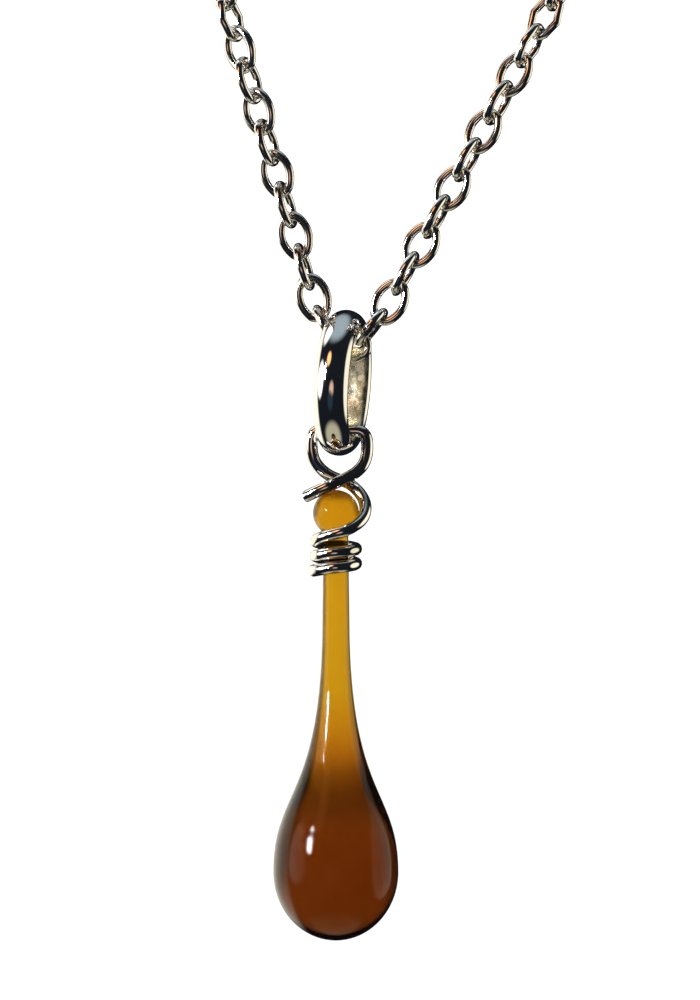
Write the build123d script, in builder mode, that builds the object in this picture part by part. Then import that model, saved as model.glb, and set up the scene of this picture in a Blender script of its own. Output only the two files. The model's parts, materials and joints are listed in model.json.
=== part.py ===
"""Silver cable-chain necklace with a wire-wrapped glass drop, as it hangs when it is worn.

Millimetres. +Z is up, the wearer faces -Y and +X is to the right of someone who looks at the wearer.
The origin is the centre of the neck loop.
"""

from build123d import *
import os
from math import asin, atan2, ceil, cos, degrees, radians, sin, sqrt

os.makedirs("parts", exist_ok=True)

# ---- Driving dimensions ------------------------------------------------------------------

# Cable chain
chain_wire = 0.55            # diameter of the link wire
link_length = 3.25           # outside length of one link
link_width = 2.40            # outside width of one link
link_end_radius = 0.72       # centreline radius of the two end bends
link_gap = 0.05              # play between neighbouring links
left_links = 43              # links from the bail link to the left shoulder, an odd number
extra_links = 4              # how many more there are on the right, an even number
single_links = 10            # lowest links of each leg that are nodes of their own
left_lean = 16.5             # degrees that the left leg leans out from the vertical
first_lean = {-1: 29.5, 1: 38.5}   # lean of the first link on the left (-1) and right (1)
leg_twist = {-1: -36.0, 1: -28.0}  # turn of the links about each leg, in degrees
twist_fades = 12             # links over which that turn fades out below the shoulder

# Neck loop
neck_radius = 50.0           # of the half circle round the nape
neck_tilt = 20.0             # degrees that the loop rises towards the nape
front_reach = 40.0           # from the neck's axis forward to the plane of the legs
shoulder_drop = 28.0         # from the origin down to the top of the legs

# Clasp at the nape
ring_wire = 0.60             # wire of the two jump rings
ring_radius = 1.55           # their centreline radius
eye_wire = 0.76              # wire of the clasp's eye
eye_radius = 0.95
claw_wire = 0.96             # thickness of the hook
claw_radius = 1.25           # centreline radius of the hook's bend
claw_reach = 6.60            # from the eye to the centre of that bend
case_length = 3.50           # of the two-cheeked case that holds the trigger
case_width = 3.30
case_depth = 2.10            # through both cheeks
case_corner = 0.90
case_edge = 0.35
case_web = 0.55              # solid wall that joins the cheeks
case_back = 0.50             # from the back of the case to the slot
hook_root = 0.80             # how far the hook runs into the case
slot_width = 0.94            # gap between the cheeks
trigger_depth = 0.80
trigger_bar = 0.78           # height of the trigger's arm
trigger_hub = 0.66
thumb_width = 1.00           # of the tab that opens the clasp
thumb_height = 2.10
thumb_corner = 0.49
thumb_back = 0.10            # from the pin to the middle of the tab
thumb_top = 2.45             # above the clasp's long axis
trigger_nose = 3.05          # from the pin to the end of the nose
pin_along = 3.10             # from the eye to the pin
pin_across = 0.62            # from the clasp's long axis to the pin
pin_radius = 0.30
pin_play = 0.05              # between the pin and the trigger's bore
clasp_gap = 0.06             # between the nose and the tip of the hook
spring_wire = 0.14
leaf_gap = 0.10              # from the web to the middle of the spring's wire
leaf_heel = 0.60             # from the end of the case to the spring's lower bend
leaf_rise = 1.10             # from the back of the case to its upper bend
leaf_top = -0.13             # height of its top run, from the clasp's long axis
leaf_nose = 0.30             # from the end of the case to its free end
leaf_bend = 0.20             # radius of both bends

# Bail ring
bail_inner_radius = 3.60
bail_thickness = 1.15
bail_width = 2.25
bail_edge = 0.45             # rounding of its inner edges
bail_yaw = -10.5             # degrees that the ring is turned about the vertical
bail_roll = 4.0              # degrees that its top leans to the right
bail_shift = -0.08           # where it sits along the link that carries it
bail_gap = 0.03              # play between the ring and that link
loop_gap = 0.09              # play between the ring and the wire loop that hangs on it

# Glass drop: clear casing over a coloured core
bulb_radius = 4.05
bulb_centre = 4.42           # height of the widest place above the bottom of the drop
bulb_pull = 5.50             # how long the outline stays full above the widest place
neck_pull = 11.90            # how early it closes in on the stem
stem_radius = 0.87
stem_top_radius = 0.80
stem_start = 21.0            # height at which the stem begins
ball_radius = 1.50
ball_height = 27.70          # centre of the ball above the bottom of the drop
casing_wall = 0.50           # clear glass round the bulb
casing_skin = 0.07           # clear glass round the stem and the ball
waist_swell = 0.52           # how much wider the core is at its waist than in the stem
waist_height = 10.2
waist_pull = 5.0             # how slowly the core tapers above its waist
shoulder_pull = 2.7          # how sharply it spreads below its waist

# Wrap wire
wrap_wire = 0.81             # 20 gauge
wrap_play = 0.02             # between the coil and the stem
coil_pitch = 0.95
coil_turns = 2
coil_points = 6              # corners of the coil's path in each turn
coil_bottom = 23.96          # height of the lowest turn where it passes the left side
loop_half_width = 1.78       # centreline
loop_height = 33.04          # of the top of the loop above the bottom of the drop
loop_offset = 0.20           # of the loop to the right of the stem
loop_corner = 0.86           # centreline radius of its upper corners
cross_lift = 0.25            # how far above the ball the two ends of the loop cross
cross_depth = 0.47           # how far in front and behind they pass
cross_reach = 0.90           # how far to the right the strand at the back comes up
cross_rise = 0.20            # how much it has risen where it passes the middle
arm_lift = 0.72              # from the crossing up to the foot of the loop's arms
arm_depth = 0.20             # how far in front and behind the feet of the arms are


# ---- Sizes that follow --------------------------------------------------------------------

wire_radius = chain_wire / 2
half_long = (link_length - chain_wire) / 2
half_wide = (link_width - chain_wire) / 2
bend_centre = half_long - link_end_radius
side_radius = (bend_centre**2 + half_wide**2 - link_end_radius**2) / (2 * (half_wide - link_end_radius))
bend_angle = degrees(atan2(side_radius - half_wide, bend_centre))
pitch = 2 * half_long - chain_wire - link_gap
link_step = half_long + link_end_radius - chain_wire - link_gap
sides = {"left": -1, "right": 1}
right_links = left_links + extra_links
leg_links = {-1: left_links, 1: right_links}


def save(part, name):
    """Label a finished piece and write it out."""
    part.label = name
    export_step(part, f"parts/{name}.step")


def leaning(side, lean):
    """Unit vector that rises and leans out to one side by lean degrees."""
    return Vector(side * sin(radians(lean)), 0, cos(radians(lean)))


def link_plane(centre, along, facing, roll):
    """Plane of a link: its long axis on along, its face turned roll degrees from facing."""
    face = facing - along * facing.dot(along)
    return Plane(origin=centre, x_dir=along, z_dir=face.rotate(Axis((0, 0, 0), along), roll))


# ---- Route of the chain -------------------------------------------------------------------

FRONT = Vector(0, -1, 0)
across = Vector(1, 0, 0).rotate(Axis.Z, bail_yaw)
leg_run = {side: bend_centre + (leg_links[side] - 1.5) * pitch for side in leg_links}
leg_rise = 2 * link_step * cos(radians(first_lean[-1])) + leg_run[-1] * cos(radians(left_lean))
shoulder_z = -shoulder_drop
bail_z = shoulder_z - leg_rise


def leg_route(side, bail_link_centre):
    """First link's centre and direction, foot of the straight run and the run's direction."""
    first_along = leaning(side, first_lean[side]).rotate(Axis.Z, bail_yaw)
    first_centre = bail_link_centre + across * (side * bend_centre) + first_along * link_step
    foot = first_centre + first_along * link_step
    rise = (shoulder_z - foot.Z) / leg_run[side]
    depth = (-front_reach - foot.Y) / leg_run[side]
    along = Vector(side * sqrt(1 - rise**2 - depth**2), depth, rise)
    return first_centre, first_along, foot, along


def shoulder_point(side, bail_link_centre):
    """Top of the straight run of a leg."""
    _, _, foot, along = leg_route(side, bail_link_centre)
    return foot + along * leg_run[side]


# The neck loop is centred between the two shoulders, so the bail link sits off its axis.
trial = Vector(0, -front_reach, bail_z)
bail_x = -(shoulder_point(-1, trial).X + shoulder_point(1, trial).X) / 2
bail_centre = Vector(bail_x, -front_reach, bail_z)


def leg_planes(side):
    """Planes of the links of one leg, from the bail link up to the shoulder."""
    first_centre, first_along, foot, along = leg_route(side, bail_centre)
    planes = [link_plane(first_centre, first_along, FRONT, 90 + bail_yaw)]
    for number in range(2, leg_links[side] + 1):
        centre = foot + along * (bend_centre + (number - 2) * pitch)
        grown = min(1, (number - 2) / (single_links - 2))
        faded = min(1, (leg_links[side] - number) / twist_fades)
        turn = (bail_yaw + (leg_twist[side] - bail_yaw) * grown) * faded
        planes.append(link_plane(centre, along, FRONT, turn + 90 * (number % 2)))
    return planes


# ---- One chain link -----------------------------------------------------------------------

with BuildPart() as chain_link:
    with BuildLine() as oval:
        CenterArc((bend_centre, 0), link_end_radius, -bend_angle, 2 * bend_angle)
        CenterArc((0, half_wide - side_radius), side_radius, bend_angle, 180 - 2 * bend_angle)
        CenterArc((-bend_centre, 0), link_end_radius, 180 - bend_angle, 2 * bend_angle)
        CenterArc((0, side_radius - half_wide), side_radius, 180 + bend_angle, 180 - 2 * bend_angle)
    with BuildSketch(Plane(oval.wire() @ 0, z_dir=oval.wire() % 0)):
        Circle(wire_radius)
    sweep(path=oval.wire())


def chain_of(planes, name):
    """Write a run of chain as one node of separate links."""
    with BuildPart() as run:
        with Locations(*planes):
            add(chain_link.part)
    save(run.part, name)


chain_of([link_plane(bail_centre, across, FRONT.rotate(Axis.Z, bail_yaw), 0)], "bail_link")

legs = {side: leg_planes(side) for side in leg_links}
for side_name, side in sides.items():
    for number in range(single_links):
        chain_of([legs[side][number]], f"{side_name}_link_{number + 1:02d}")
    chain_of(legs[side][single_links:], f"{side_name}_leg_chain")


# ---- Neck chain ---------------------------------------------------------------------------

neck_up = Vector(0, -sin(radians(neck_tilt)), cos(radians(neck_tilt)))
neck_plane = Plane(origin=(0, 0, 0), x_dir=(1, 0, 0), z_dir=neck_up)
backward = neck_plane.y_dir

# Distances along the clasp, from the middle of the clasp ring's wire in the right chain's last
# link to the middle of the end ring's wire in the left chain's last link.
ring_wire_radius = ring_wire / 2
eye_at = 2 * ring_radius + eye_radius - (eye_wire / 2 + ring_wire_radius + link_gap)
hooked_at = claw_reach + claw_radius - claw_wire / 2 - ring_wire_radius - link_gap
clasp_length = eye_at + hooked_at + 2 * ring_radius
into_link = wire_radius + ring_wire_radius + link_gap - (half_long - pitch / 2)
clasp_span = clasp_length - 2 * into_link
nape_half_angle = degrees(asin(clasp_span / 2 / neck_radius))


def neck_route(side):
    """Path of the chain from a shoulder round the side of the neck to the clasp."""
    shoulder = shoulder_point(side, bail_centre)
    _, _, _, along = leg_route(side, bail_centre)
    with BuildLine() as slope:
        Spline(shoulder, (side * neck_radius, 0, 0), tangents=(along, backward))
    start = 0 if side > 0 else 180
    with BuildLine(neck_plane) as nape:
        CenterArc((0, 0), neck_radius, start, side * (90 - nape_half_angle))
    return slope.edges()[0], nape.edges()[0]


def neck_planes(side):
    """Planes of the links of one side of the neck chain, evenly spaced along its path."""
    slope, nape = neck_route(side)
    length = slope.length + nape.length
    count = ceil(length / pitch)
    spacing = length / count
    stations = []
    for number in range(count):
        reach = (number + 0.5) * spacing
        if reach < slope.length:
            part_of = reach / slope.length
            stations.append((slope @ part_of, slope % part_of))
        else:
            angle = radians(90 - side * 90 + side * degrees((reach - slope.length) / neck_radius))
            point = neck_plane.from_local_coords(Vector(cos(angle), sin(angle)) * neck_radius)
            heading = neck_plane.from_local_coords(Vector(-side * sin(angle), side * cos(angle)))
            stations.append((point, heading))
    # The face direction is carried from link to link, then turned evenly so that the last link
    # lies flat against the neck.
    facing = FRONT
    faces = []
    for _, along in stations:
        facing = (facing - along * facing.dot(along)).normalized()
        faces.append(facing)
    last_point, last_along = stations[-1]
    flat_turn = 90 * ((count - 1) % 2)
    goal = last_point.normalized().rotate(Axis((0, 0, 0), last_along), -flat_turn)
    sideways = last_along.cross(faces[-1])
    ease = degrees(atan2(goal.dot(sideways), goal.dot(faces[-1])))
    planes = []
    for number, (point, along) in enumerate(stations):
        turn = ease * number / (count - 1) + 90 * (number % 2)
        planes.append(link_plane(point, along, faces[number], turn))
    return planes


neck_runs = {side: neck_planes(side) for side in leg_links}
for side_name, side in sides.items():
    chain_of(neck_runs[side], f"{side_name}_neck_chain")


# ---- Clasp --------------------------------------------------------------------------------

chord_height = neck_radius * cos(radians(nape_half_angle))
outward = backward
toward_claw = Vector(-1, 0, 0)
clasp_start = backward * chord_height + Vector(clasp_length / 2, 0, 0)
clasp_plane = Plane(origin=clasp_start + toward_claw * eye_at, x_dir=toward_claw, z_dir=outward)


def on_clasp(x, y, z=0.0):
    """Point in the clasp's own frame: x from the eye to the hook, y across, z through it."""
    return clasp_plane.from_local_coords((x, y, z))


case_start = eye_radius
case_end = case_start + case_length
case_floor = case_web - case_width / 2
through = 2 * case_depth


def jump_ring(x):
    """Plane of a round ring that passes through the clasp at right angles to its face."""
    return Plane(origin=on_clasp(x, 0), x_dir=toward_claw, z_dir=clasp_plane.y_dir)


def clasp_layer(depth):
    """Plane parallel to the clasp's face, half of depth behind its middle."""
    return clasp_plane.offset(-depth / 2)


def clasp_pin_place():
    """Plane on the axis of the pin."""
    return Plane(origin=on_clasp(pin_along, pin_across), x_dir=toward_claw, z_dir=outward)


with BuildPart() as clasp_ring:
    with Locations(jump_ring(ring_radius - eye_at)):
        Torus(ring_radius, ring_wire_radius)
save(clasp_ring.part, "clasp_ring")

with BuildPart() as end_ring:
    with Locations(jump_ring(hooked_at + ring_radius)):
        Torus(ring_radius, ring_wire_radius)
save(end_ring.part, "end_ring")

with BuildPart() as clasp_body:
    with BuildSketch(clasp_layer(case_depth)):
        with Locations(((case_start + case_end) / 2, 0)):
            RectangleRounded(case_length, case_width, case_corner)
    extrude(amount=case_depth)
    fillet(clasp_body.faces().filter_by(Axis((0, 0, 0), outward)).edges(), case_edge)
    with Locations(clasp_plane):
        Torus(eye_radius, eye_wire / 2)
    with BuildLine(clasp_plane) as hook:
        Line((case_end - hook_root, -claw_radius), (claw_reach, -claw_radius))
        CenterArc((claw_reach, 0), claw_radius, -90, 180)
        Line((claw_reach, claw_radius), (case_end, claw_radius))
    with BuildSketch(Plane(hook.wire() @ 0, z_dir=hook.wire() % 0)):
        Circle(claw_wire / 2)
    sweep(path=hook.wire())
    # Slot for the trigger, open at the top and the front, above the web.
    with BuildSketch(clasp_layer(slot_width)):
        with Locations((case_start + case_back, case_floor)):
            Rectangle(case_length, case_width, align=(Align.MIN, Align.MIN))
    extrude(amount=slot_width, mode=Mode.SUBTRACT)
    # The gate, cut round the pin so that the nose swings clear of the tip of the hook.
    with BuildSketch(clasp_layer(through)):
        with Locations((pin_along, pin_across)):
            Circle(trigger_nose + clasp_gap)
        with Locations((case_end, 0)):
            Rectangle(claw_reach, case_width, align=(Align.MIN, Align.MIN), mode=Mode.INTERSECT)
    extrude(amount=through, mode=Mode.SUBTRACT)
    with Locations(clasp_pin_place()):
        Cylinder(pin_radius, through, mode=Mode.SUBTRACT)
save(clasp_body.part, "clasp_body")

with BuildPart() as clasp_pin:
    with Locations(clasp_pin_place()):
        Cylinder(pin_radius, case_depth)
save(clasp_pin.part, "clasp_pin")

with BuildPart() as clasp_trigger:
    with BuildSketch(clasp_layer(trigger_depth)):
        with Locations((pin_along, claw_radius)):
            Rectangle(2 * trigger_nose, trigger_bar, align=(Align.MIN, Align.CENTER))
        with Locations((pin_along, pin_across)):
            Circle(trigger_nose, mode=Mode.INTERSECT)
            Circle(trigger_hub)
        with Locations((pin_along - thumb_back, thumb_top - thumb_height / 2)):
            RectangleRounded(thumb_width, thumb_height, thumb_corner)
    extrude(amount=trigger_depth)
    with Locations(clasp_pin_place()):
        Cylinder(pin_radius + pin_play, through, mode=Mode.SUBTRACT)
save(clasp_trigger.part, "clasp_trigger")

# A bent leaf of springy wire: one end lies on the web, the other pushes the trigger's arm up.
with BuildPart() as clasp_spring:
    with BuildLine(clasp_plane) as leaf:
        FilletPolyline(
            (case_start + case_back + leaf_gap, case_floor + leaf_gap),
            (case_end - leaf_heel, case_floor + leaf_gap),
            (case_start + leaf_rise, leaf_top),
            (case_end - leaf_nose, leaf_top),
            radius=leaf_bend,
        )
    with BuildSketch(Plane(leaf.wire() @ 0, z_dir=leaf.wire() % 0)):
        Circle(spring_wire / 2)
    sweep(path=leaf.wire())
save(clasp_spring.part, "clasp_spring")


# ---- Bail ring ----------------------------------------------------------------------------

bail_axis_point = bail_centre + across * bail_shift + Vector(0, 0, half_wide)
behind = Vector(0, 1, 0).rotate(Axis.Z, bail_yaw)
ring_down = Vector(0, 0, -1).rotate(Axis((0, 0, 0), behind), bail_roll)
bail_ring_centre = bail_axis_point + ring_down * (bail_inner_radius - wire_radius - bail_gap)
bail_ring_axis = behind.cross(ring_down)
bail_ring_plane = Plane(origin=bail_ring_centre, x_dir=ring_down, z_dir=ring_down.cross(bail_ring_axis))

with BuildPart() as bail_ring:
    flat = bail_width / 2 - bail_edge
    outer = bail_inner_radius + bail_thickness
    corner = bail_inner_radius + bail_edge
    with BuildSketch(bail_ring_plane):
        with BuildLine():
            Line((bail_inner_radius, -flat), (bail_inner_radius, flat))
            RadiusArc((bail_inner_radius, flat), (corner, bail_width / 2), -bail_edge)
            ThreePointArc((corner, bail_width / 2), (outer, 0), (corner, -bail_width / 2))
            RadiusArc((corner, -bail_width / 2), (bail_inner_radius, -flat), -bail_edge)
        make_face()
    revolve(axis=Axis(bail_ring_centre, bail_ring_axis))
save(bail_ring.part, "bail_ring")


# ---- Glass drop ---------------------------------------------------------------------------

ring_foot = bail_ring_centre + ring_down * bail_inner_radius
drop_x = ring_foot.X - loop_offset
drop_y = ring_foot.Y
drop_z = ring_foot.Z + loop_gap + wrap_wire / 2 - loop_height
drop_plane = Plane(origin=(drop_x, drop_y, drop_z), x_dir=(1, 0, 0), z_dir=FRONT)
drop_axis = Axis((drop_x, drop_y, drop_z), (0, 0, 1))


def ball_meets(stem, ball):
    """Height at which a stem of one radius runs into a ball of another."""
    return ball_height - sqrt(ball**2 - stem**2)


quarter_lead = 0.5523  # makes a Bezier curve follow a quarter of an ellipse


def round_bottom(radius, bottom):
    """Corners of the curve that rounds a bulb from its lowest point out to its widest."""
    lead = quarter_lead * radius
    rise = quarter_lead * (bulb_centre - bottom)
    return (0, bottom), (lead, bottom), (radius, bulb_centre - rise), (radius, bulb_centre)


with BuildPart() as glass_core:
    core_bulb = bulb_radius - casing_wall
    core_stem = stem_radius - casing_skin
    core_top = stem_top_radius - casing_skin
    core_ball = ball_radius - casing_skin
    waist = core_stem + waist_swell
    with BuildSketch(drop_plane):
        with BuildLine():
            Bezier(*round_bottom(core_bulb, casing_wall))
            Bezier(
                (core_bulb, bulb_centre),
                (core_bulb, bulb_centre + shoulder_pull),
                (waist, waist_height - shoulder_pull),
                (waist, waist_height),
            )
            Bezier(
                (waist, waist_height),
                (waist, waist_height + waist_pull),
                (core_stem, stem_start - waist_pull),
                (core_stem, stem_start),
            )
            Line((core_stem, stem_start), (core_top, ball_meets(core_top, core_ball)))
            ThreePointArc(
                (core_top, ball_meets(core_top, core_ball)),
                (core_ball, ball_height),
                (0, ball_height + core_ball),
            )
            Line((0, ball_height + core_ball), (0, casing_wall))
        make_face()
    revolve(axis=drop_axis)
save(glass_core.part, "glass_core")

with BuildPart() as glass_casing:
    with BuildSketch(drop_plane):
        with BuildLine():
            Bezier(*round_bottom(bulb_radius, 0))
            Bezier(
                (bulb_radius, bulb_centre),
                (bulb_radius, bulb_centre + bulb_pull),
                (stem_radius, stem_start - neck_pull),
                (stem_radius, stem_start),
            )
            Line((stem_radius, stem_start), (stem_top_radius, ball_meets(stem_top_radius, ball_radius)))
            ThreePointArc(
                (stem_top_radius, ball_meets(stem_top_radius, ball_radius)),
                (ball_radius, ball_height),
                (0, ball_height + ball_radius),
            )
            Line((0, ball_height + ball_radius), (0, 0))
        make_face()
    revolve(axis=drop_axis)
    add(glass_core.part, mode=Mode.SUBTRACT)
save(glass_casing.part, "glass_casing")


# ---- Wrap wire ----------------------------------------------------------------------------

wire_gap = wrap_wire / 2 + wrap_play
stem_end = ball_meets(stem_top_radius, ball_radius)
stem_taper = (stem_radius - stem_top_radius) / (stem_end - stem_start)
coil_radius = stem_radius - stem_taper * (coil_bottom - wrap_wire - stem_start) + wire_gap
ball_reach = ball_radius + wire_gap


def coil_corner(turn):
    """Corner of the coil's path; turn counts from where the wire first passes the left side."""
    angle = radians(360 * turn - 90)
    radius = coil_radius / cos(radians(180 / coil_points))
    return Vector(radius * sin(angle), -radius * cos(angle), coil_bottom + coil_pitch * turn)


def round_ball(azimuth, elevation, clear):
    """Corner of the path beside the ball; azimuth 0 is the front and 90 the right."""
    reach = ball_reach * clear
    radius = reach * cos(radians(elevation))
    angle = radians(azimuth)
    rise = reach * sin(radians(elevation))
    return Vector(radius * sin(angle), -radius * cos(angle), ball_height + rise)


# The wire winds up the stem, hugs the right side of the ball, crosses behind it to the left arm,
# turns over the top, and comes down the right arm and over the front to its cut end.
left_arm = loop_offset - loop_half_width
right_arm = loop_offset + loop_half_width
cross_z = ball_height + ball_reach + cross_lift
arm_z = cross_z + arm_lift
coil = [coil_corner(step / coil_points) for step in range(coil_turns * coil_points + 1)]
hug = [
    round_ball(-28, -45, 1.07),
    round_ball(22, -34, 1.10),
    round_ball(66, -9, 1.10),
    round_ball(90, 25, 1.10),
]
loop = [
    Vector(cross_reach, cross_depth, cross_z - cross_rise),
    Vector(-cross_reach / 2, cross_depth, cross_z + cross_rise),
    Vector(left_arm, arm_depth, arm_z),
    Vector(left_arm, 0, loop_height),
    Vector(right_arm, 0, loop_height),
    Vector(right_arm, -arm_depth, arm_z),
    Vector(cross_reach / 2, -cross_depth, cross_z),
    round_ball(-39, 52, 1.06),
    round_ball(-80, 27, 1.19),
]
coil_bends = [0.97 * coil_radius] * (len(coil) - 2) + [0.95]
hug_bends = [1.0, 1.1, 1.2, 1.1]
loop_bends = [1.0, 1.1, 0.9, loop_corner, loop_corner, 0.95, 1.1, 1.1]

drop_origin = Vector(drop_x, drop_y, drop_z)
with BuildPart() as wrap_wire_part:
    with BuildLine() as wrap:
        FilletPolyline(
            *[corner + drop_origin for corner in coil + hug + loop],
            radius=coil_bends + hug_bends + loop_bends,
        )
    with BuildSketch(Plane(wrap.wire() @ 0, z_dir=wrap.wire() % 0)):
        Circle(wrap_wire / 2)
    sweep(path=wrap.wire())
save(wrap_wire_part.part, "wrap_wire")

print("wrap wire: length", round(wrap.wire().length, 2), "volume", round(wrap_wire_part.part.volume, 3))


# ---- Hinge lines --------------------------------------------------------------------------


def wire_in_end(plane, end):
    """Centre of the neighbour's wire where it lies in one end of a link: -1 is its foot, 1 its top."""
    return plane.origin + plane.x_dir * (end * (half_long - chain_wire - link_gap))


hinge_points = {
    "drape_swing": [wire_in_end(legs[side][-1], 1) for side in (-1, 1)],
    "cradle_swing": [wire_in_end(legs[side][0], 1) for side in (-1, 1)],
    "bail_swing": [bail_axis_point, bail_axis_point + across],
    "pendant_swing": [
        drop_origin + Vector(loop_offset, 0, loop_height),
        drop_origin + Vector(loop_offset + 1, 0, loop_height),
    ],
    "trigger_press": [on_clasp(pin_along, pin_across), on_clasp(pin_along, pin_across, -1)],
}
for joint, (start, end) in hinge_points.items():
    place = [round(value, 3) for value in start]
    along = [round(value, 4) for value in (end - start).normalized()]
    print(joint, "through", place, "along", along)
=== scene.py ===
# %% [markdown]
# # A silver chain with a drop of amber glass
#
# This lesson dresses a finished CAD model in Blender. The model is a necklace: a cable chain, a
# half-round ring that slides on it, and a long glass drop that hangs from the ring by a loop of wire.
# The CAD model is the frame. It says where each piece is, and the lesson never moves it. What shows,
# the glass, the ring, the wire and the links, is modelled again here with Blender's own tools.

import json
from math import asin, atan2, cos, pi, radians, sin

import bpy
import numpy as np
from mathutils import Matrix, Vector


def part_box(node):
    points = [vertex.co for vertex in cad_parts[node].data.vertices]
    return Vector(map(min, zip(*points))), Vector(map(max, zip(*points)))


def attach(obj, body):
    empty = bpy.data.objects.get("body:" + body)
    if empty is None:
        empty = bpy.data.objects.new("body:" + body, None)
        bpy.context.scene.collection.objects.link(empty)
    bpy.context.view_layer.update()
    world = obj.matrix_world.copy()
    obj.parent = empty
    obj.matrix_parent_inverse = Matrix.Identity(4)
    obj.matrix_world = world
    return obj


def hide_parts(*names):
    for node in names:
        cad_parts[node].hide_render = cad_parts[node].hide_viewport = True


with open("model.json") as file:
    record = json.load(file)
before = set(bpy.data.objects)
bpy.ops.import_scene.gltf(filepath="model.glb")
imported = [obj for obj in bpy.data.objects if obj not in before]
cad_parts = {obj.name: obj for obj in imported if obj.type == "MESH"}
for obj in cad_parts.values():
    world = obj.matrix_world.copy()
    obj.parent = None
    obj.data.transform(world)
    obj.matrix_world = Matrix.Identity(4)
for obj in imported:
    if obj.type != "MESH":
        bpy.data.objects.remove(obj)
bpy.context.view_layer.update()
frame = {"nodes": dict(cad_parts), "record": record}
nodes = frame["nodes"]
MM = 0.001

# %% [markdown]
# ## Small helpers
#
# An operator acts on whatever is selected, and the frame's meshes come in selected. So everything is
# deselected before a new piece is added, and faces are later picked in code by their place.
# A finished piece keeps its place in its mesh and leaves its object at the origin, as a CAD node does.


# %% Helpers for working by hand
def deselect():
    """Leave edit mode with nothing selected."""
    if bpy.context.object and bpy.context.object.mode != "OBJECT":
        bpy.ops.object.mode_set(mode="OBJECT")
    bpy.ops.object.select_all(action="DESELECT")


def only(piece):
    """Select one piece and make it active."""
    deselect()
    piece.select_set(True)
    bpy.context.view_layer.objects.active = piece


def edit_all(piece):
    """Open a piece in edit mode with all of it selected."""
    only(piece)
    bpy.ops.object.mode_set(mode="EDIT")
    bpy.ops.mesh.select_all(action="SELECT")


def settle(piece, name):
    """Leave edit mode, name the piece and move its place into its mesh."""
    only(piece)
    bpy.ops.object.transform_apply(location=True, rotation=True, scale=True)
    piece.name = name
    piece.data.name = name
    bpy.ops.object.shade_smooth()
    return piece


def add_modifier(piece, kind, **settings):
    """Add a modifier, set it and apply it."""
    only(piece)
    modifier = piece.modifiers.new(kind.lower(), kind)
    for key, value in settings.items():
        setattr(modifier, key, value)
    bpy.ops.object.modifier_apply(modifier=modifier.name)


def wears(piece, material, body, slot_name, *stands_for):
    """Give a piece its material, its body and the CAD nodes it stands for; slot_name is not used."""
    if material:
        piece.data.materials.clear()
        piece.data.materials.append(material)
    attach(piece, body)
    if stands_for:
        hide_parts(*stands_for)
    print(f"{piece.name}: {len(piece.data.polygons)} faces, rides on {body}")


# %% [markdown]
# ## The camera
#
# The pendant is seen straight from the front, from about a forearm's length away, so a long lens
# fits it into the frame without stretching the near side of the ring.

# %% Camera
GLASS_LOW, GLASS_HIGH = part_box("glass_casing")
LINK_LOW, LINK_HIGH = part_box("bail_link")
CAMERA_AWAY = 0.300
VIEW_HEIGHT = 0.0648
VIEW_BESIDE_LINK = 0.16 * MM
VIEW_DEPTH = -40 * MM
VIEW_LEVEL = -124.68 * MM
link_centre_x = (LINK_LOW.x + LINK_HIGH.x) / 2
VIEW_MIDDLE = Vector((link_centre_x + VIEW_BESIDE_LINK, VIEW_DEPTH, VIEW_LEVEL))

lens_data = bpy.data.cameras.new("camera")
lens_data.lens = lens_data.sensor_width * CAMERA_AWAY / VIEW_HEIGHT
camera = bpy.data.objects.new("camera", lens_data)
bpy.context.scene.collection.objects.link(camera)
camera.location = VIEW_MIDDLE - Vector((0, CAMERA_AWAY, 0))
camera.rotation_euler = (radians(90), 0, 0)
bpy.context.scene.camera = camera
print("lens:", round(lens_data.lens, 1), "mm")

# %% [markdown]
# ## The studio
#
# Polished silver has no colour of its own: it shows the room. A room that is white all round makes it
# look like paper, so the room here has bright and dark parts. The sky is plain white where the camera
# sees it and where it lights the floor. What metal reflects is a darker room with soft patches of
# light in it: pale ones on the left, a creamy one on the right, a cool one above and a warm one below,
# and small bright ones for glints. What glass bends into view is white behind the pendant, dim to the
# sides and brown below, and the dark between them draws the thin dark outline of clear glass. So the
# silver and the glass look like this only under this sky.


# %% A room of soft patches
def room(tree, dark, patches):
    """Colour of the room by direction: a dark ground and soft round patches of light."""
    view = tree.nodes.new("ShaderNodeTexCoord")
    total = tree.nodes.new("ShaderNodeRGB")
    total.outputs[0].default_value = (*dark, 1)
    total = total.outputs[0]
    for toward, start, full, colour in patches:
        facing = tree.nodes.new("ShaderNodeVectorMath")
        facing.operation = "DOT_PRODUCT"
        tree.links.new(view.outputs["Generated"], facing.inputs[0])
        facing.inputs[1].default_value = Vector(toward).normalized()
        share = tree.nodes.new("ShaderNodeMapRange")
        share.interpolation_type = "SMOOTHSTEP"
        tree.links.new(facing.outputs["Value"], share.inputs["Value"])
        share.inputs["From Min"].default_value = cos(radians(start))
        share.inputs["From Max"].default_value = cos(radians(full))
        mix = tree.nodes.new("ShaderNodeMix")
        mix.data_type = "RGBA"
        tree.links.new(share.outputs["Result"], mix.inputs["Factor"])
        tree.links.new(total, mix.inputs["A"])
        mix.inputs["B"].default_value = (*colour, 1)
        total = mix.outputs["Result"]
    return total


world = bpy.data.worlds.new("studio")
bpy.context.scene.world = world
world.use_nodes = True
sky = world.node_tree
sky.nodes.clear()
rays = sky.nodes.new("ShaderNodeLightPath")

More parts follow.
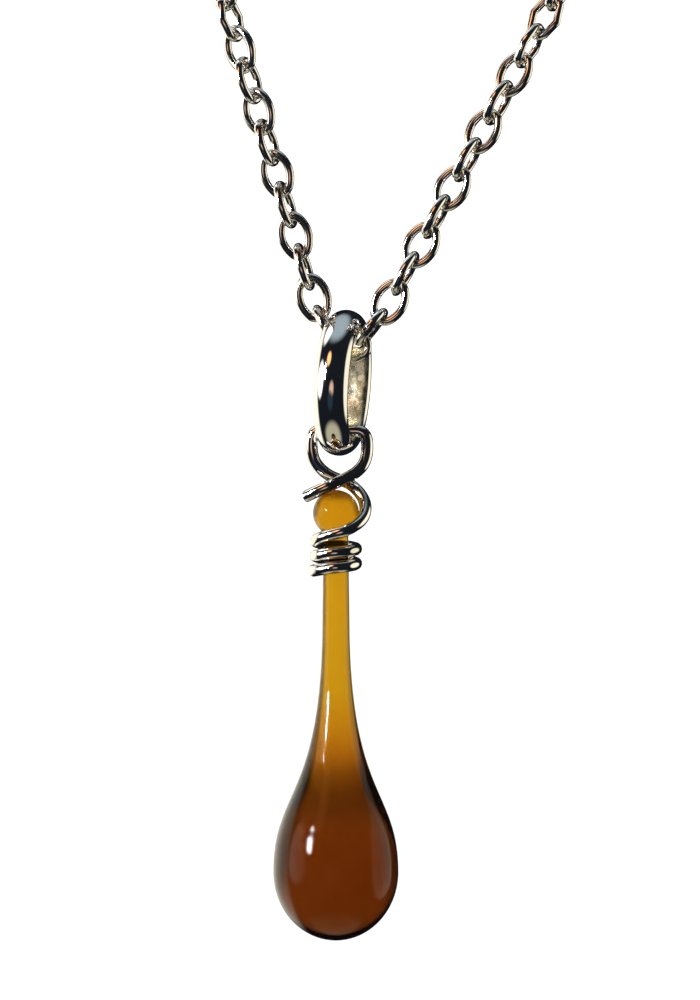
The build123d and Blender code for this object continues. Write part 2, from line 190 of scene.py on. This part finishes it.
# Each patch: the direction it lies in, degrees from its middle where it starts and where it is full,
# and its colour.
metal_room = room(
    sky,
    (0.008, 0.010, 0.014),
    [
        ((0, 0.2, 1), 42, 22, (0.34, 0.42, 0.46)),
        ((0, 0.1, -1), 36, 20, (0.46, 0.43, 0.30)),
        ((-0.72, 0.69, -0.05), 40, 28, (1.20, 1.14, 0.96)),
        ((-0.98, -0.20, 0.10), 24, 14, (1.9, 1.9, 1.9)),
        ((1.0, 0.12, 0.0), 32, 24, (1.10, 1.02, 0.82)),
        ((-0.50, -0.66, 0.60), 14, 5, (2.2, 0.95, 0.40)),
        ((-0.12, -0.97, -0.20), 16, 3, (0.75, 0.50, 0.38)),
        ((-0.54, 0.28, 0.78), 20, 8, (1.6, 1.6, 1.55)),
        ((-0.20, -0.85, -0.50), 20, 6, (0.02, 0.035, 0.055)),
    ],
)
glass_room = room(
    sky,
    (0.020, 0.022, 0.018),
    [
        ((0, 1, 0), 82, 48, (1.25, 1.25, 1.22)),
        ((-1, 0.4, -0.3), 40, 12, (0.60, 0.62, 0.56)),
        ((1, 0.4, -0.3), 40, 12, (0.22, 0.21, 0.18)),
        ((0, 0.4, -1), 55, 25, (0.34, 0.24, 0.19)),
    ],
)


def either(chosen, plain, other):
    """One colour for a kind of ray, another for the rest."""
    mix = sky.nodes.new("ShaderNodeMix")
    mix.data_type = "RGBA"
    sky.links.new(rays.outputs[chosen], mix.inputs["Factor"])
    if isinstance(plain, tuple):
        mix.inputs["A"].default_value = plain
    else:
        sky.links.new(plain, mix.inputs["A"])
    sky.links.new(other, mix.inputs["B"])
    return mix.outputs["Result"]


WHITE_SKY = (1.25, 1.25, 1.25, 1)
light = either("Is Glossy Ray", WHITE_SKY, metal_room)
light = either("Is Transmission Ray", light, glass_room)
background = sky.nodes.new("ShaderNodeBackground")
sky.links.new(light, background.inputs["Color"])
output = sky.nodes.new("ShaderNodeOutputWorld")
sky.links.new(background.outputs[0], output.inputs[0])
bpy.context.scene.view_settings.view_transform = "Standard"
print("sky nodes:", len(sky.nodes))

# %% [markdown]
# A compact lamp stands on the left, and a smaller one above it. They give the small white spots on the
# glass and on each turn of the wire. The floor is a plain pale sheet well below the pendant. It is
# left out of what the metal reflects, because the room above already has a patch for the floor.


# %% Lamps and floor
def lamp(name, toward, away, size, power):
    """Rectangular area light that looks at the pendant from one direction."""
    data = bpy.data.lights.new(name, "AREA")
    data.shape = "RECTANGLE"
    data.size, data.size_y = size
    data.energy = power
    light = bpy.data.objects.new(name, data)
    bpy.context.scene.collection.objects.link(light)
    direction = Vector(toward).normalized()
    light.location = VIEW_MIDDLE + direction * away
    light.rotation_euler = direction.to_track_quat("Z", "Y").to_euler()
    light.visible_camera = False


lamp("side_lamp", (-0.77, -0.59, 0.22), 0.50, (0.09, 0.11), 8.0)
lamp("high_lamp", (-0.72, -0.55, 0.42), 0.50, (0.035, 0.035), 1.6)

deselect()
FLOOR_HEIGHT = -0.26
FLOOR_RADIUS = 12.0
bpy.ops.mesh.primitive_circle_add(
    vertices=96, radius=FLOOR_RADIUS, fill_type="NGON", location=(0, 0, FLOOR_HEIGHT)
)
floor = settle(bpy.context.object, "floor")
paint = bpy.data.materials.new("floor_paint")
paint.use_nodes = True
paint.node_tree.nodes["Principled BSDF"].inputs["Base Color"].default_value = (0.90, 0.90, 0.90, 1)
paint.node_tree.nodes["Principled BSDF"].inputs["Roughness"].default_value = 0.9
floor.data.materials.append(paint)
floor.visible_glossy = False
floor.visible_transmission = False
print("floor at", FLOOR_HEIGHT, "m")

# %% [markdown]
# ## Materials from nodes
#
# Every finish is a Principled shader fed by noise or by height, on Object coordinates. A value that is
# the same all over is typed on the shader itself. Three small helpers carry the pattern to colour, to
# roughness and to the surface normal, and each finish picks what it needs.


# %% Pattern helpers
def finish(name, **values):
    """New material with one Principled shader; values are its sockets, underscores for spaces."""
    material = bpy.data.materials.new(name)
    material.use_nodes = True
    shader = material.node_tree.nodes["Principled BSDF"]
    for key, value in values.items():
        shader.inputs[key.replace("_", " ")].default_value = value
    return material


def noise(material, per_mm, detail=3.0, squeeze=(1, 1, 1), turn=(0, 0, 0), warp=0.0):
    """Noise on Object coordinates, with per_mm features to the millimetre."""
    tree = material.node_tree
    place = tree.nodes.new("ShaderNodeTexCoord")
    mapping = tree.nodes.new("ShaderNodeMapping")
    mapping.inputs["Scale"].default_value = squeeze
    mapping.inputs["Rotation"].default_value = turn
    pattern = tree.nodes.new("ShaderNodeTexNoise")
    pattern.inputs["Scale"].default_value = per_mm / MM
    pattern.inputs["Detail"].default_value = detail
    pattern.inputs["Distortion"].default_value = warp
    tree.links.new(place.outputs["Object"], mapping.inputs["Vector"])
    tree.links.new(mapping.outputs["Vector"], pattern.inputs["Vector"])
    return pattern.outputs["Fac"]


def height(material, low, high):
    """0 at one height and 1 at another, in metres."""
    tree = material.node_tree
    place = tree.nodes.new("ShaderNodeTexCoord")
    split = tree.nodes.new("ShaderNodeSeparateXYZ")
    share = tree.nodes.new("ShaderNodeMapRange")
    tree.links.new(place.outputs["Object"], split.inputs["Vector"])
    tree.links.new(split.outputs["Z"], share.inputs["Value"])
    share.inputs["From Min"].default_value = low
    share.inputs["From Max"].default_value = high
    return share.outputs["Result"]


def colours(material, pattern, stops):
    """Colour ramp from a pattern; stops are (position, colour)."""
    ramp = material.node_tree.nodes.new("ShaderNodeValToRGB")
    material.node_tree.links.new(pattern, ramp.inputs["Fac"])
    elements = ramp.color_ramp.elements
    while len(elements) < len(stops):
        elements.new(0.5)
    for element, (position, colour) in zip(elements, stops):
        element.position = position
        element.color = (*colour, 1)
    return ramp.outputs["Color"]


def feed(material, source, socket):
    """Join a pattern to a socket of the material's shader."""
    material.node_tree.links.new(source, material.node_tree.nodes["Principled BSDF"].inputs[socket])


def roughness(material, pattern, low, high):
    """Roughness from low to high as the pattern goes from 0.3 to 0.7."""
    share = material.node_tree.nodes.new("ShaderNodeMapRange")
    material.node_tree.links.new(pattern, share.inputs["Value"])
    share.inputs["From Min"].default_value = 0.3
    share.inputs["From Max"].default_value = 0.7
    share.inputs["To Min"].default_value = low
    share.inputs["To Max"].default_value = high
    feed(material, share.outputs["Result"], "Roughness")


def ripples(material, *layers):
    """Surface ripples; each layer is a pattern, its depth in millimetres and its strength."""
    tree = material.node_tree
    normal = None
    for pattern, depth, strength in layers:
        bump = tree.nodes.new("ShaderNodeBump")
        bump.inputs["Distance"].default_value = depth * MM
        bump.inputs["Strength"].default_value = strength
        tree.links.new(pattern, bump.inputs["Height"])
        if normal:
            tree.links.new(normal, bump.inputs["Normal"])
        normal = bump.outputs["Normal"]
    feed(material, normal, "Normal")


# %% [markdown]
# ## Silver
#
# Sterling silver is nearly white with a slightly warm tone, and a worn piece carries a breath of
# yellow-brown tarnish in patches. The chain's wire is tumbled and has tiny dents. The wrapping wire
# was drawn through a die, so its marks run along it. The ring is polished hardest outside and left
# duller and yellower inside, where a cloth doesn't reach.


# %% Silver finishes
def silver(name, clean, worn, patches, low, high, dents, depth):
    """Polished silver with patches of wear, uneven polish and small dents."""
    material = finish(name, Metallic=1.0)
    wear = noise(material, patches, detail=4.0, warp=0.6)
    feed(material, colours(material, wear, [(0.35, worn), (0.62, clean)]), "Base Color")
    roughness(material, noise(material, patches * 3), low, high)
    ripples(material, (noise(material, dents, detail=2.0), depth, 0.5))
    return material


chain_silver = silver("chain_silver", (0.98, 0.97, 0.95), (0.84, 0.80, 0.72), 0.45, 0.04, 0.10, 1.2, 0.012)
wrap_silver = silver("wrap_silver", (0.95, 0.94, 0.92), (0.76, 0.72, 0.64), 0.55, 0.04, 0.09, 1.0, 0.015)
clasp_silver = silver("clasp_silver", (0.95, 0.94, 0.91), (0.82, 0.79, 0.72), 0.30, 0.08, 0.20, 0.9, 0.03)
bail_silver = silver("bail_silver", (0.97, 0.97, 0.96), (0.88, 0.87, 0.84), 0.25, 0.03, 0.08, 0.35, 0.03)
bail_inside = silver("bail_inside", (0.90, 0.84, 0.68), (0.62, 0.54, 0.36), 0.8, 0.16, 0.34, 0.9, 0.08)
spring_steel = silver("spring_steel", (0.72, 0.72, 0.72), (0.55, 0.55, 0.56), 1.0, 0.18, 0.30, 3.0, 0.01)
print("silver finishes:", len([m for m in bpy.data.materials if "silver" in m.name]))

# %% [markdown]
# ## Two glasses
#
# The drop is clear glass gathered over an amber rod. Both bend light alike, so only the outside
# surface bends it, and the seam between them is given no bend at all. The amber is a tint plus a
# real absorption inside: the thin stem stays yellow and the thick bulb goes brown. The tint itself is
# also painted darker brown towards the bottom, a painted shade for the thick bulb. A little of the
# light is scattered by fine haze, so the brown isn't black. The casing mirrors a tenth of what real
# glass does, because the room's soft patches would lie on it as a milky veil.

# %% Glass finishes
GLASS_BEND = 1.5
NO_BEND = 1.0
CASING_TONE = (0.95, 0.97, 0.95, 1)
CASING_MIRROR = (0.10, 0.10, 0.10, 1)
HAZE_FREE = 0.93
clear_glass = finish(
    "clear_glass",
    Transmission_Weight=1.0,
    IOR=GLASS_BEND,
    Roughness=0.0,
    Specular_Tint=CASING_MIRROR,
    Base_Color=CASING_TONE,
)
ripples(
    clear_glass,
    (noise(clear_glass, 0.22, detail=1.0), 0.10, 0.35),
    (noise(clear_glass, 1.4, detail=2.0, squeeze=(1, 1, 0.25)), 0.02, 0.25),
)

seam_glass = finish("seam_glass", Transmission_Weight=1.0, IOR=NO_BEND, Roughness=0.0)
amber_glass = finish("amber_glass", Transmission_Weight=HAZE_FREE, IOR=NO_BEND, Roughness=0.0)
# The amber tint follows the height of the drop and is painted darker towards the bottom: painted shade for
# the thick bulb, on top of the real absorption.
painted_shade_height = height(amber_glass, GLASS_LOW.z, GLASS_HIGH.z)
AMBER_WITH_PAINTED_SHADE = [
    (0.00, (0.19, 0.060, 0.010)),
    (0.28, (0.23, 0.070, 0.010)),
    (0.40, (0.58, 0.23, 0.012)),
    (0.55, (0.72, 0.42, 0.015)),
    (1.00, (0.76, 0.42, 0.012)),
]
feed(amber_glass, colours(amber_glass, painted_shade_height, AMBER_WITH_PAINTED_SHADE), "Base Color")
absorb = amber_glass.node_tree.nodes.new("ShaderNodeVolumeAbsorption")
absorb.inputs["Color"].default_value = (0.80, 0.48, 0.10, 1)
absorb.inputs["Density"].default_value = 300.0
amber_out = amber_glass.node_tree.nodes["Material Output"]
amber_glass.node_tree.links.new(absorb.outputs["Volume"], amber_out.inputs["Volume"])
print("absorption per millimetre:", absorb.inputs["Density"].default_value * MM)

# %% [markdown]
# ## Turning the drop
#
# The real drop was pulled in a flame while it turned, so it is round about an upright axis. It could
# be a revolved curve, but a ring of points that is extruded upward and scaled, again and again, is
# how one would block it out by hand, and it gives an even net of four-sided faces. The radius of
# each ring is read off the CAD mesh, so the glass keeps its exact outline.


# %% Outline of a turned node
def corners(mesh, kind="co"):
    """A mesh's corners as rows of an array: their places, or their normals."""
    rows = np.empty(len(mesh.vertices) * 3)
    mesh.vertices.foreach_get(kind, rows)
    return rows.reshape(-1, 3)


def outline_of(name, centre, heights):
    """Radius at each height of a node that is round about an upright axis through centre."""
    mesh = nodes[name].data
    places = corners(mesh) - np.array(centre)
    normals = corners(mesh, "normal")
    reach = np.hypot(places[:, 0], places[:, 1])
    outside = (normals[:, :2] * places[:, :2]).sum(axis=1) > 0
    levels = np.round(places[outside, 2], 6)
    reach = reach[outside]
    steps = np.unique(levels)
    widest = np.array([reach[levels == step].max() for step in steps])
    low, high = places[:, 2].min(), places[:, 2].max()
    inner = (steps > low) & (steps < high)
    steps = np.concatenate([[low], steps[inner], [high]])
    widest = np.concatenate([[0], widest[inner], [0]])
    return np.interp(np.array(heights) - centre.z, steps, widest)


def ring_heights(low, high, count):
    """Heights from low to high, closer together near both ends."""
    return [low + (high - low) * (1 - cos(pi * step / count)) / 2 for step in range(1, count)]


GLASS_AXIS = (GLASS_LOW + GLASS_HIGH) / 2
SIDES = 64


def turn_up(name, heights, radii, low, high):
    """Closed round piece made by extruding a circle up through a list of rings."""
    deselect()
    centre = (GLASS_AXIS.x, GLASS_AXIS.y)
    bpy.ops.mesh.primitive_circle_add(vertices=SIDES, radius=radii[0], location=(*centre, heights[0]))
    piece = bpy.context.object
    bpy.ops.object.transform_apply(location=True, rotation=True, scale=True)
    bpy.ops.object.mode_set(mode="EDIT")
    bpy.ops.mesh.select_all(action="SELECT")
    for step in range(1, len(heights)):
        climb = heights[step] - heights[step - 1]
        grow = radii[step] / radii[step - 1]
        bpy.ops.mesh.extrude_region_move(TRANSFORM_OT_translate={"value": (0, 0, climb)})
        bpy.ops.transform.resize(value=(grow, grow, 1), center_override=(*centre, heights[step]))
    bpy.ops.mesh.extrude_region_move(TRANSFORM_OT_translate={"value": (0, 0, high - heights[-1])})
    bpy.ops.mesh.merge(type="CENTER")
    bpy.ops.object.mode_set(mode="OBJECT")
    for vertex in piece.data.vertices:
        vertex.select = abs(vertex.co.z - heights[0]) < 1e-7
    bpy.ops.object.mode_set(mode="EDIT")
    bpy.ops.mesh.extrude_region_move(TRANSFORM_OT_translate={"value": (0, 0, low - heights[0])})
    bpy.ops.mesh.merge(type="CENTER")
    bpy.ops.mesh.select_all(action="SELECT")
    bpy.ops.mesh.normals_make_consistent(inside=False)
    bpy.ops.object.mode_set(mode="OBJECT")
    return settle(piece, name)


def turned_like(name, node, count, grow=0.0):
    """Turn a piece with the outline of a CAD node, grown by a small distance."""
    low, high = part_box(node)
    heights = ring_heights(low.z, high.z, count)
    radii = outline_of(node, GLASS_AXIS, heights) + grow
    return turn_up(name, heights, list(radii), low.z - grow, high.z + grow)


# %% [markdown]
# The amber core is turned a hair smaller than its cavity, so the two surfaces never fight for the
# same place. The casing is the outer skin and the cavity's wall, joined into one piece, and the
# cavity's faces are flipped so that every face points out of the glass.

# %% Core and casing
SEAM = 0.012 * MM
RINGS = 72
core = turned_like("amber_core", "glass_core", RINGS, grow=-SEAM)
wears(core, amber_glass, "pendant", "amber_glass", "glass_core")

casing = turned_like("clear_casing", "glass_casing", RINGS)
cavity = turned_like("cavity", "glass_core", RINGS)
edit_all(cavity)
bpy.ops.mesh.flip_normals()
deselect()
casing.data.materials.append(clear_glass)
casing.data.materials.append(seam_glass)
cavity.data.materials.append(clear_glass)
cavity.data.materials.append(seam_glass)
for face in cavity.data.polygons:
    face.material_index = 1
cavity.select_set(True)
casing.select_set(True)
bpy.context.view_layer.objects.active = casing
bpy.ops.object.join()
wears(casing, None, "pendant", "clear_glass", "glass_casing")

# %% [markdown]
# ## Drawing with spins
#
# The ring and the links are bent from wire and bar, so their outlines are runs and arcs. Spin turns a
# single point into an arc, and then a closed outline into a body. With a ring's axis along X and its
# middle at the origin, the section is drawn in the XZ plane and spun once round.


# %% Point, run and arc
def start_point(place):
    """New piece that is one point, in edit mode."""
    deselect()
    bpy.ops.mesh.primitive_plane_add(size=MM, location=place)
    bpy.ops.object.transform_apply(location=True, rotation=True, scale=True)
    bpy.ops.object.mode_set(mode="EDIT")
    bpy.ops.mesh.select_all(action="SELECT")
    bpy.ops.mesh.merge(type="CENTER")
    return bpy.context.object


def arc(centre, axis, angle, steps):
    """Draw what is selected on along an arc, in degrees; spin turns the other way round its axis."""
    bpy.ops.mesh.spin(steps=steps, angle=-radians(angle), center=centre, axis=axis)


def run(vector, steps):
    """Draw what is selected on along a straight run."""
    for _ in range(steps):
        bpy.ops.mesh.extrude_region_move(TRANSFORM_OT_translate={"value": Vector(vector) / steps})


def close_up(piece, reach=0.001 * MM):
    """Weld what meets and turn all faces outward."""
    bpy.ops.mesh.select_all(action="SELECT")
    bpy.ops.mesh.remove_doubles(threshold=reach)
    bpy.ops.mesh.normals_make_consistent(inside=False)
    bpy.ops.object.mode_set(mode="OBJECT")
    return piece


# %% [markdown]
# ## The ring
#
# The ring is a half-round band: domed outside, flat inside, with rounded inner corners. The CAD ring
# has hollow corners in their place, so this one stands up to a quarter of a millimetre outside it
# there. Its section is drawn by three spins and one run, then spun once round. It comes out at the
# origin, so it is turned and moved onto the CAD ring, whose axis and middle are measured from its mesh.


# %% Where a CAD node lies
def frame_of(places):
    """Middle of a cloud of points and its own axes, the thinnest last."""
    middle = places.mean(axis=0)
    _, axes = np.linalg.eigh(np.cov((places - middle).T))
    axes = axes[:, ::-1].T
    along = (places - middle) @ axes.T
    middle = middle + (along.max(axis=0) + along.min(axis=0)) / 2 @ axes
    return Vector(middle), [Vector(axis) for axis in axes], along.max(axis=0) - along.min(axis=0)


ring_middle, ring_axes, ring_size = frame_of(corners(nodes["bail_ring"].data))
RING_OUTER = ring_size[0] / 2
RING_WIDTH = ring_size[2]
RING_INNER = 3.60 * MM
RING_CORNER = 0.45 * MM
RING_STEPS = 144
DULL_DEPTH = 0.12 * MM
print("ring:", [round(v / MM, 3) for v in ring_size], "mm, inside radius", RING_INNER / MM)

# %% Draw the ring's section and spin it
half_width = RING_WIDTH / 2
crown_rise = RING_OUTER - RING_INNER - RING_CORNER
crown_radius = (half_width**2 + crown_rise**2) / (2 * crown_rise)
crown_angle = 2 * asin(half_width / crown_radius) * 180 / pi
corner_height = RING_INNER + RING_CORNER
flat = half_width - RING_CORNER
Y_AXIS = (0, 1, 0)

ring = start_point((-half_width, 0, corner_height))
arc((0, 0, RING_OUTER - crown_radius), Y_AXIS, crown_angle, 14)
arc((flat, 0, corner_height), Y_AXIS, 90, 5)
run((-2 * flat, 0, 0), 6)
arc((-flat, 0, corner_height), Y_AXIS, 90, 5)
bpy.ops.mesh.select_all(action="SELECT")
bpy.ops.mesh.remove_doubles(threshold=0.001 * MM)
bpy.ops.mesh.select_all(action="SELECT")
arc((0, 0, 0), (1, 0, 0), 360, RING_STEPS)
close_up(ring)
ring_turn = Matrix((ring_axes[2], ring_axes[0], ring_axes[1])).transposed()
if ring_turn.determinant() < 0:
    ring_turn = Matrix((ring_axes[2], ring_axes[0], -ring_axes[1])).transposed()
ring.matrix_world = Matrix.Translation(ring_middle) @ ring_turn.to_4x4()
settle(ring, "half_round_ring")
ring.data.materials.append(bail_silver)
ring.data.materials.append(bail_inside)
for face in ring.data.polygons:
    away = face.center - ring_middle
    side = away.dot(ring_axes[2])
    if (away - ring_axes[2] * side).length < RING_INNER + DULL_DEPTH:
        face.material_index = 1
wears(ring, None, "bail", "bail_silver", "bail_ring")

# %% [markdown]
# ## One link
#
# A cable link is a piece of round wire bent into an oval and soldered shut. It is drawn as the wire is
# bent: a circle of wire is spun round a side, an end, the other side and the other end, until it
# meets itself. The links near the pendant are round, with no swelling at the solder seam: the links
# hang so close that a thicker wire would cut into its neighbour. The links of the long runs are seen
# from further off, so they are drawn with few faces.

# %% Sizes of a link, measured where the frame can tell
_, _, link_size = frame_of(corners(nodes["bail_link"].data))
WIRE = link_size[2]
HALF_LONG = (link_size[0] - WIRE) / 2
HALF_WIDE = (link_size[1] - WIRE) / 2
END_RADIUS = 0.72 * MM
END_AT = HALF_LONG - END_RADIUS
SIDE_RADIUS = (END_AT**2 + HALF_WIDE**2 - END_RADIUS**2) / (2 * (HALF_WIDE - END_RADIUS))
END_HALF = atan2(SIDE_RADIUS - HALF_WIDE, END_AT) * 180 / pi
print("link:", [round(v / MM, 3) for v in link_size], "mm")


# %% Bend a link
def bend_link(name, sides, end_steps, side_steps):
    """Oval of round wire in the XY plane, long along X, joined in the middle of one side."""
    deselect()
    bpy.ops.mesh.primitive_circle_add(
        vertices=sides, radius=WIRE / 2, location=(0, -HALF_WIDE, 0), rotation=(0, radians(90), 0)
    )
    link = bpy.context.object
    bpy.ops.object.transform_apply(location=True, rotation=True, scale=True)
    bpy.ops.object.mode_set(mode="EDIT")
    bpy.ops.mesh.select_all(action="SELECT")
    half_side = 90 - END_HALF
    up = (0, 0, 1)
    arc((0, SIDE_RADIUS - HALF_WIDE, 0), up, half_side, side_steps)
    arc((END_AT, 0, 0), up, 2 * END_HALF, end_steps)
    arc((0, HALF_WIDE - SIDE_RADIUS, 0), up, 2 * half_side, 2 * side_steps)
    arc((-END_AT, 0, 0), up, 2 * END_HALF, end_steps)
    arc((0, SIDE_RADIUS - HALF_WIDE, 0), up, half_side, side_steps)
    close_up(link)
    return settle(link, name)


near_link = bend_link("near_link", 14, 14, 5)
far_link = bend_link("far_link", 8, 6, 1)
print("near link:", len(near_link.data.polygons), "faces; far link:", len(far_link.data.polygons))

# %% [markdown]
# ## Linking the chain
#
# Every link of the frame is measured for its middle and its own axes, and a copy of the drawn link is
# put there. The long runs of chain are one CAD node each, so a copy of the node is welded and split
# into loose parts first, and the finished links of a run are joined into one piece.


# %% Put copies where the frame's links are
def link_places(node):
    """Matrices that carry the drawn link onto each link of a CAD node."""
    deselect()
    split = nodes[node].copy()
    split.data = nodes[node].data.copy()
    split.parent = None
    bpy.context.scene.collection.objects.link(split)
    edit_all(split)
    bpy.ops.mesh.remove_doubles(threshold=0.0005 * MM)
    bpy.ops.mesh.separate(type="LOOSE")
    bpy.ops.object.mode_set(mode="OBJECT")
    loose = list(bpy.context.selected_objects)
    found = []
    for part in loose:
        middle, axes, _ = frame_of(corners(part.data))
        third = axes[0].cross(axes[1])
        found.append(Matrix.Translation(middle) @ Matrix((axes[0], axes[1], third)).transposed().to_4x4())
        bpy.data.objects.remove(part)
    return found


def string_links(node, drawn, body):
    """Copies of the drawn link in place of a node's links, as one piece."""
    copies = []
    for place in link_places(node):
        copy = drawn.copy()
        copy.data = drawn.data.copy()
        copy.data.transform(place)
        bpy.context.scene.collection.objects.link(copy)
        copies.append(copy)
    deselect()
    for copy in copies:
        copy.select_set(True)
    bpy.context.view_layer.objects.active = copies[0]
    if len(copies) > 1:
        bpy.ops.object.join()
    piece = settle(bpy.context.object, node.replace("link", "oval").replace("chain", "run"))
    wears(piece, chain_silver, body, "chain_silver", node)
    return len(copies)


strung = 0
for body, members in frame["record"]["behaviour"]["bodies"].items():
    for node in members:
        if "_link" in node:
            strung += string_links(node, near_link, body)
        elif "_chain" in node:
            strung += string_links(node, far_link, body)
bpy.data.objects.remove(near_link)
bpy.data.objects.remove(far_link)
print("links in the necklace:", strung)

# %% [markdown]
# ## The wrapping wire
#
# One length of wire holds the glass. It winds twice round the stem, climbs the right side of the ball,
# crosses behind to the left arm of the loop, goes over the ring's foot, comes down the right arm and
# ends in front of the ball. Wire that is bent with the fingers has no corners, so its middle line is
# a NURBS curve, which rounds every turn of the path. The path follows the CAD wire, with its heights
# counted from the bottom of the drop, apart from the loop. That has more corners here, to make its
# feet round, and lies up to 0.27 mm outside the CAD wire.

# %% Path of the wire, in millimetres from the bottom of the drop
GAUGE = 0.81
COIL_RADIUS = 1.29
COIL_BOTTOM = 23.96
COIL_PITCH = 0.95
COIL_POINTS = 6
BALL_MIDDLE = 27.70
BALL_REACH = 1.925
CROSS = 29.875
LOOP_TOP = 33.04
LOOP_LEFT = -1.58
LOOP_RIGHT = 1.98


def beside_stem(turn):
    """Corner of the coil; turn counts from where the wire first passes the left side."""
    angle = 2 * pi * turn - pi / 2
    reach = COIL_RADIUS / cos(pi / COIL_POINTS)
    return Vector((reach * sin(angle), -reach * cos(angle), COIL_BOTTOM + COIL_PITCH * turn))


def beside_ball(azimuth, elevation, clear):
    """Corner beside the ball; azimuth 0 is the front and 90 the right."""
    reach = BALL_REACH * clear * cos(radians(elevation))
    climb = BALL_REACH * clear * sin(radians(elevation))
    return Vector((reach * sin(radians(azimuth)), -reach * cos(radians(azimuth)), BALL_MIDDLE + climb))


coil = [beside_stem(step / COIL_POINTS) for step in range(2 * COIL_POINTS + 1)]
climb = [
    beside_ball(-28, -45, 1.07),
    beside_ball(22, -34, 1.10),
    beside_ball(66, -9, 1.10),
    beside_ball(90, 25, 1.10),
]
loop = [
    Vector((0.90, 0.47, CROSS - 0.20)),
    Vector((-0.30, 0.47, CROSS + 0.14)),
    Vector((LOOP_LEFT + 0.42, 0.33, CROSS + 0.80)),
    Vector((LOOP_LEFT - 0.02, 0.12, CROSS + 1.62)),
    Vector((LOOP_LEFT, 0, LOOP_TOP)),
    Vector((-0.35, 0, LOOP_TOP)),
    Vector((0.55, 0, LOOP_TOP)),
    Vector((LOOP_RIGHT, 0, LOOP_TOP)),
    Vector((LOOP_RIGHT + 0.08, -0.12, CROSS + 1.55)),
    Vector((LOOP_RIGHT - 0.38, -0.33, CROSS + 0.62)),
    Vector((0.55, -0.47, CROSS + 0.02)),
    beside_ball(-39, 52, 1.06),
    beside_ball(-80, 27, 1.19),
]
foot = Vector((GLASS_AXIS.x, GLASS_AXIS.y, GLASS_LOW.z))
path = [foot + point * MM for point in coil + climb + loop]

# %% Draw the wire along its path
deselect()
bpy.ops.curve.primitive_nurbs_path_add()
wire = bpy.context.object
spline = wire.data.splines[0]
spline.points.add(len(path) - len(spline.points))
for point, place in zip(spline.points, path):
    point.co = (*place, 1)
    point.radius = 1
    point.select = True
spline.order_u = 3
spline.use_endpoint_u = True
spline.resolution_u = 8
wire.data.bevel_depth = GAUGE / 2 * MM
wire.data.bevel_resolution = 4
wire.data.use_fill_caps = True
bpy.ops.object.convert(target="MESH")
wire = settle(bpy.context.object, "wound_wire")
edit_all(wire)
bpy.ops.mesh.remove_doubles(threshold=0.0005 * MM)
bpy.ops.mesh.normals_make_consistent(inside=False)
bpy.ops.object.mode_set(mode="OBJECT")
CUT_EDGE = 0.09
add_modifier(wire, "BEVEL", width=CUT_EDGE * MM, segments=2, limit_method="ANGLE", angle_limit=radians(50))
wears(wire, wrap_silver, "pendant", "wrap_silver", "wrap_wire")

# %% [markdown]
# ## What the frame already shapes well
#
# The clasp keeps its CAD shape and only gets its finish.

# %% Finishes on the frame's own pieces
KEPT = {
    "clasp_body": clasp_silver,
    "clasp_trigger": clasp_silver,
    "clasp_pin": clasp_silver,
    "clasp_ring": clasp_silver,
    "end_ring": clasp_silver,
    "clasp_spring": spring_steel,
}
for name, material in KEPT.items():
    nodes[name].data.materials.clear()
    nodes[name].data.materials.append(material)
print("kept:", sorted(KEPT))
